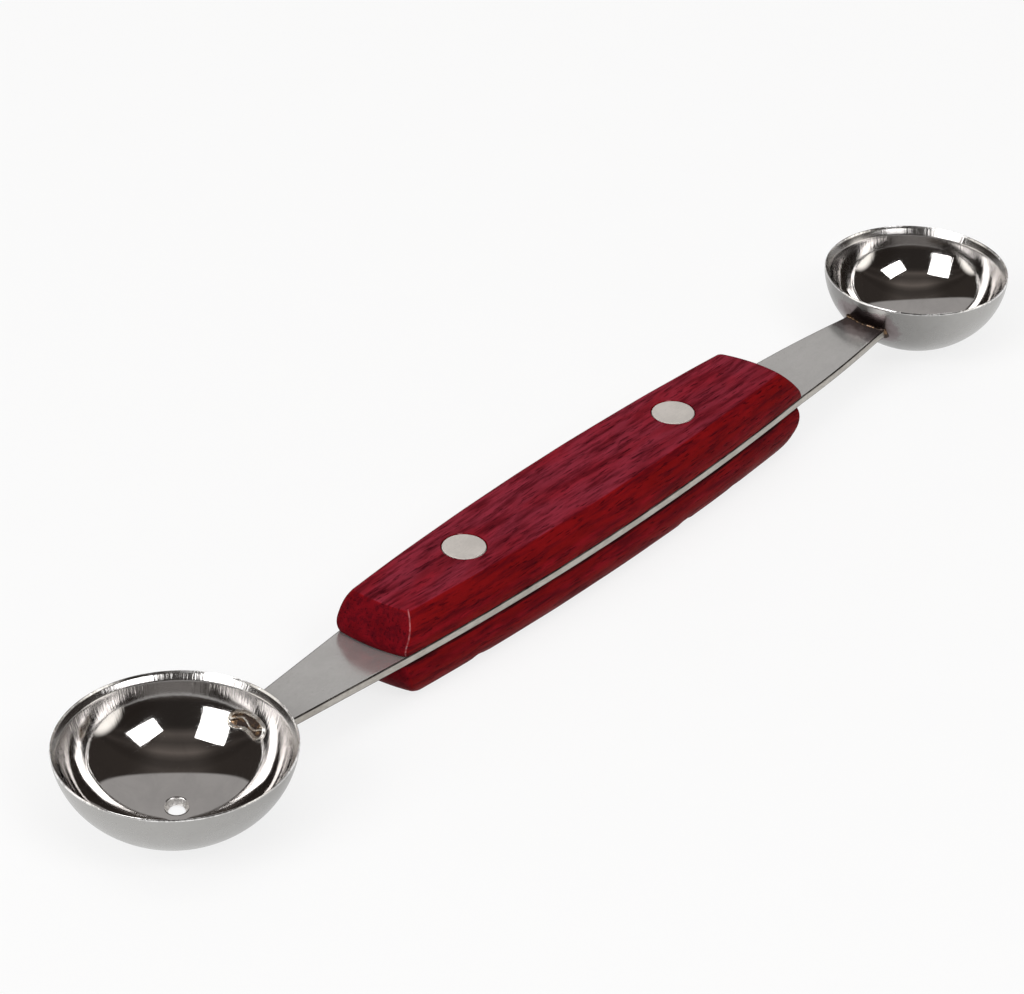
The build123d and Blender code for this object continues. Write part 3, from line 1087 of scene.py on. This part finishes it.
def make_rivet(end, x, metal):
    """A compression rivet: a headed post from above, pressed into a headed tube from below."""
    for half, shank, inward in (("post", rivet_post_diameter / 2, -1), ("tube", rivet_tube_diameter / 2, 1)):
        node = f"{end}_rivet_{half}"
        low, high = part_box(node)
        face, foot = (high.z / MM, low.z / MM) if inward < 0 else (low.z / MM, high.z / MM)
        seat = face + inward * rivet_head_thickness
        profile = [(shank, foot), (shank, seat)] + eased_head(face, inward)
        if inward > 0:
            bore = rivet_post_diameter / 2
            profile = [(bore, seat), (bore, foot)] + profile
            profile = profile[::-1]
        rows = turned_rows(profile, x)
        keep_piece(stacked_piece(node + "_turned", rows, [metal], sharp=40), "rivet_metal", node)


# The object

large = Bowl("large_bowl", large_bowl_depth, large_bevel_height, 0.0)
small = Bowl("small_bowl", small_bowl_depth, small_bevel_height, math.pi)
weld_metal = make_weld_steel()
bead_metal = make_bead_metal()
lip_steel = make_worked_steel(
    "ground lip", (3.0, upright, 0.9), (0.5, 0.49, 0.48), (0.92, 0.91, 0.9), (0.14, 0.32), (0.5, 0.02),
    crisp=True)
punched_steel = make_worked_steel(
    "punched vent wall", (5.0, upright, 0.5), (0.5, 0.48, 0.46), (0.75, 0.73, 0.71), (0.3, 0.5), (0.5, 0.03))
sheared_edge = make_worked_steel(
    "sheared tang edge", (4.0, (0.25, 1.0, 1.0), 0.8), (0.36, 0.335, 0.3), (0.5, 0.475, 0.435),
    (0.3, 0.45), (0.4, 0.02), specks=0.4)
# Painted shade: near-black steel for the tang's eased edges, a dark line where the strip meets the wood
tang_corner_shade = make_worked_steel(
    "tang corner painted shade", (2.0, (0.4, 1.0, 1.0), 0.9), (0.05, 0.045, 0.042), (0.17, 0.155, 0.145),
    (0.45, 0.6), (0.4, 0.02))
for bowl, heat_and_shade_reach in ((large, 2.0), (small, 1.0)):
    inside = make_polished_steel(bowl)
    outside = make_bowl_satin(bowl, heat_and_shade_reach)
    make_bowl_shell(bowl, inside, outside, lip_steel, punched_steel)
    make_weld_print(bowl, weld_metal, bead_metal)
    make_weld_bead(bowl, bead_metal)
tang_satin = make_tang_satin([(large.joint(), 0.6), (small.joint(), 1.15)])
make_tang(tang_satin, sheared_edge, tang_corner_shade)
make_scale_piece(
    "top_scale_wood", "top_scale",
    make_stained_wood("top scale wood", board=3.0, highlight_share=0.4, darker=0.03, seam_shade_width=0.2),
    (top_large_end_shares, top_small_end_shares), outward=1, nicks=[], seed=2.0)
make_scale_piece(
    "bottom_scale_wood", "bottom_scale",
    make_stained_wood("bottom scale wood", board=41.0, highlight_share=0.0, darker=0.14, seam_shade_width=0.42),
    (bottom_large_end_shares, bottom_small_end_shares), outward=-1, nicks=lower_nicks, seed=9.0)
rivet_metal = make_rivet_metal()
for end, x in rivet_places():
    make_rivet(end, x, rivet_metal)


# The stage

floor_reach = 6000
floor = mesh_piece(
    "floor", [(x * floor_reach, y * floor_reach, 0) for x, y in ((-1, -1), (1, -1), (1, 1), (-1, 1))],
    [(0, 1, 2, 3)], [make_pale_floor()])

# The room as polished steel shows it: a pale grey sweep behind the object, and a dim room in front.
# Room greys go by tilt up from the floor in front, as a share of a quarter turn.
sweep_azimuth = math.radians(39.3)
sweep_turn, sweep_rise = 0.06, 0.95
sweep_grey = (0.44, 0.428, 0.42)
room_greys = (
    (0.0, 0.2), (0.07, 0.1), (0.12, 0.05), (0.17, 0.03), (0.5, 0.028), (0.55, 0.04), (0.61, 0.11),
    (0.66, 0.08), (0.7, 0.065), (0.75, 0.1), (0.8, 0.15), (0.845, 0.085), (0.89, 0.055), (0.95, 0.06),
    (1.0, 0.08))
room_warmth = (1.16, 1.0, 0.9)
room_sides = (0.025, 0.02, 0.017)

# Pale wall low all round, up to where it fades into the room, as seen from the object
wall_grey = (0.6, 0.595, 0.59)
wall_top, wall_fade = math.radians(6.4), math.radians(8.2)

# Pale reflectors low at either side: azimuth and elevation
side_reflectors = ((math.radians(-67.0), math.radians(3.0)), (math.radians(139.0), math.radians(1.0)))
reflector_white = (1.8, 1.75, 1.65)


def make_studio():
    """The sweep and the room, laid out by direction."""
    world = bpy.data.worlds.new("studio")
    world.use_nodes = True
    tree = world.node_tree
    direction = add(tree, "TexCoord").outputs["Generated"]

    def along(x, y, z):
        """How far the direction goes along a vector."""
        return vector_calc("DOT_PRODUCT", direction, (x, y, z))

    middle = sweep_azimuth + sweep_turn
    sweep = spread(along(math.cos(middle), math.sin(middle), sweep_rise), 0.945, 0.985)
    height = axes_of(direction)["Z"]
    away = along(-math.cos(sweep_azimuth), -math.sin(sweep_azimuth), 0.0)
    rise = calc("DIVIDE", calc("ARCTAN2", height, away), math.pi / 2)
    greys = [(at, tuple(grey * warmth for warmth in room_warmth)) for at, grey in room_greys]
    lateral = calc("ABSOLUTE", along(-math.sin(sweep_azimuth), math.cos(sweep_azimuth), 0.0))
    aside = spread(lateral, 0.2, 0.62, 0.0, 0.75)
    colour = blend_colours(aside, colour_ramp(rise, greys), room_sides)
    colour = blend_colours(sweep, colour, sweep_grey)
    wall = spread(height, math.sin(wall_top), math.sin(wall_fade), 1.0, 0.0)
    colour = blend_colours(wall, colour, wall_grey)
    for azimuth, elevation in side_reflectors:
        level = math.cos(elevation)
        toward = along(level * math.cos(azimuth), level * math.sin(azimuth), math.sin(elevation))
        colour = blend_colours(spread(toward, 0.925, 0.975), colour, reflector_white)
    connect(tree.nodes["Background"], "Color", colour)
    bpy.context.scene.world = world


def turn_to(placed, place, axes):
    """Set an object at a place in metres, with its own axes along three directions."""
    placed.matrix_world = Matrix.Translation(place) @ Matrix(axes).transposed().to_4x4()


def place_lamp(name, place, azimuth, elevation, roll, width, height, power):
    """A soft box at a place in metres, turned by the angles that it faces away from, in degrees."""
    lamp = bpy.data.lights.new(name, "AREA")
    lamp.shape = "RECTANGLE"
    lamp.size, lamp.size_y = width, height
    lamp.energy = power
    a, e, r = (math.radians(angle) for angle in (azimuth, elevation, roll))
    behind = Vector((math.cos(e) * math.cos(a), math.cos(e) * math.sin(a), math.sin(e)))
    level = Vector((0, 0, 1)).cross(behind).normalized()
    across = level * math.cos(r) - behind.cross(level) * math.sin(r)
    holder = place_object(name, lamp)
    turn_to(holder, place, (across, behind.cross(across), behind))
    return holder


def place_camera(place, azimuth, tilt, roll, lens):
    """The camera at a place in metres, turned by azimuth, tilt down and roll in degrees."""
    a, t, r = (math.radians(angle) for angle in (azimuth, tilt, roll))
    forward = Vector((-math.sin(a) * math.cos(t), math.cos(a) * math.cos(t), -math.sin(t)))
    level = Vector((math.cos(a), math.sin(a), 0))
    above = level.cross(forward)
    right = level * math.cos(r) + above * math.sin(r)
    up = above * math.cos(r) - level * math.sin(r)
    camera = place_object("camera", bpy.data.cameras.new("camera"))
    camera.data.lens, camera.data.sensor_width = lens, 36.0
    turn_to(camera, place, (right, up, -forward))
    bpy.context.scene.camera = camera


make_studio()
place_lamp(
    "right softbox", (-0.213, -1.054, 1.123), azimuth=-100.6, elevation=14.5, roll=-10.9, width=0.76,
    height=0.58, power=7.5)
place_lamp(
    "left softbox", (-2.124, 0.169, 1.403), azimuth=184.1, elevation=41.7, roll=-7.7, width=1.26,
    height=1.66, power=35.0)
overhead = place_lamp(
    "overhead fill", (-0.5, -0.6, 2.6), azimuth=-130, elevation=72, roll=0, width=2.4, height=2.4, power=29)
overhead.visible_glossy = False

# Camera where the photograph was taken from
place_camera((-0.38681, -0.306133, 0.327855), azimuth=-50.732, tilt=32.788, roll=1.002, lens=158.106)
bpy.context.scene.view_settings.view_transform = "Standard"
